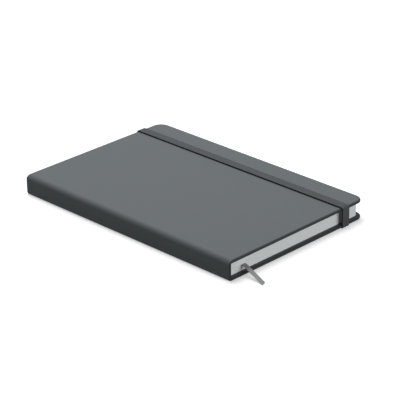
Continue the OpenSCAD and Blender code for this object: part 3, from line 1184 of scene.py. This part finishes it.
def white_floor():
    """A matt floor, lifted to white for the eye with its shadow, and grey where it lights the object."""
    material, tree, output = material_of("white_floor")
    grey = add(tree, "ShaderNodeBsdfDiffuse", {"Color": rgb("#606060")})
    pale = add(tree, "ShaderNodeBsdfDiffuse", {"Color": rgb("#ffffff")})
    lift = add(tree, "ShaderNodeEmission", {"Color": rgb("#ffffff"), "Strength": FLOOR_LIFT})
    lifted = add(tree, "ShaderNodeAddShader", {0: pale.outputs[0], 1: lift.outputs[0]})
    mix = add(
        tree, "ShaderNodeMixShader",
        {0: seen_or_mirrored(tree), 1: grey.outputs[0], 2: lifted.outputs[0]},
    )
    tree.links.new(mix.outputs[0], output.inputs["Surface"])
    mesh = bpy.data.meshes.new("floor")
    corners = [(x * FLOOR_REACH, y * FLOOR_REACH, FLOOR_Z) for x, y in ((-1, -1), (1, -1), (1, 1), (-1, 1))]
    mesh.from_pydata(corners, [], [(0, 1, 2, 3)])
    mesh.materials.append(material)
    floor = bpy.data.objects.new("floor", mesh)
    bpy.context.scene.collection.objects.link(floor)


def studio():
    """A plain white room with a soft key lamp, a weak fill lamp and a white floor."""
    bpy.context.scene.view_settings.view_transform = "Standard"
    white_room()
    white_floor()
    lamp("key", KEY_PLACE, KEY_SIZE, KEY_WATTS)
    lamp("fill", FILL_PLACE, FILL_SIZE, FILL_WATTS)


def dress(node, material):
    """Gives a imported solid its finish."""
    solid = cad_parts[node]
    solid.data.materials.clear()
    solid.data.materials.append(material)


camera()
studio()
skin = soft_touch_skin()
paper = writing_paper()

# Heavier uncoated sheet, warm white with a soft tooth
leaf_paper = fibrous("uncoated_endpaper", "#e6e6e2", "#f0f0ec", grain_mm=0.5, depth_mm=0.02)
# Board pressed from waste paper, a flecked brownish grey
grey_board = fibrous("pressed_grey_board", "#8d8676", "#a89f8d", grain_mm=0.8, depth_mm=0.05)
# Thin board that bends, paler and smoother than the covers' board
spine_card = fibrous("flexible_spine_card", "#a39a8a", "#b9b0a0", grain_mm=0.6, depth_mm=0.03)
# Open cotton cloth stiffened with glue, cream with a thread's bump
crash_cloth = fibrous("glued_lining_cloth", "#cbc4b2", "#e2dccb", grain_mm=0.4, depth_mm=0.06)
# Polyester threads woven over rubber cords: matt dark grey ribs, crossed by slanting picks, with painted
# shade between the threads and a nearly black painted shade along both edges and sides. The picks are drawn
# about twice as coarse as real ones, so that they show.
elastic_weave = woven(
    "woven_elastic", gap_shade="#34383a", thread="#74797c", selvedge_and_shade="#141718", rib_mm=0.78, pick_mm=0.9,
    depth_mm=0.08, edge_mm=3.35, roughness=0.7, sheen=0.25,
)
# Polyester satin: fine threads that lie flat, a smooth mid grey with a soft gloss and painted shade between
# the threads. They too are drawn about twice as coarse as real ones.
satin_weave = woven(
    "satin_ribbon", gap_shade="#8d9091", thread="#a9acad", selvedge_and_shade="#8d9091", rib_mm=0.3, pick_mm=0.5,
    depth_mm=0.02, edge_mm=1.55, roughness=0.42, sheen=0.0,
)

front_cover = front_cover_skin(skin)
back_cover = back_cover_skin(skin)
pages = leaf_stack(paper)
front_sheet = endpaper("endpaper_front", front_paste, front_leaf, leaf_paper)
back_sheet = endpaper("endpaper_back", back_paste, back_leaf, leaf_paper)
band = elastic(elastic_weave)
marker = ribbon(satin_weave)

dress("front_board", grey_board)
dress("back_board", grey_board)
dress("spine_stiffener", spine_card)
dress("spine_lining", crash_cloth)

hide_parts("front_skin", "spine_skin")
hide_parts("back_skin")
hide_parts("page_block")
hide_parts("front_pastedown", "front_flyleaf")
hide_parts("back_pastedown", "back_flyleaf")
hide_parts("elastic_band")
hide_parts("ribbon_marker")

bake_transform(front_cover)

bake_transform(back_cover)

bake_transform(front_sheet)
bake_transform(back_sheet)

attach(pages, "book_block")
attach(marker, "book_block")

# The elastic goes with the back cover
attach(band, "back_cover")
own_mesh(band)
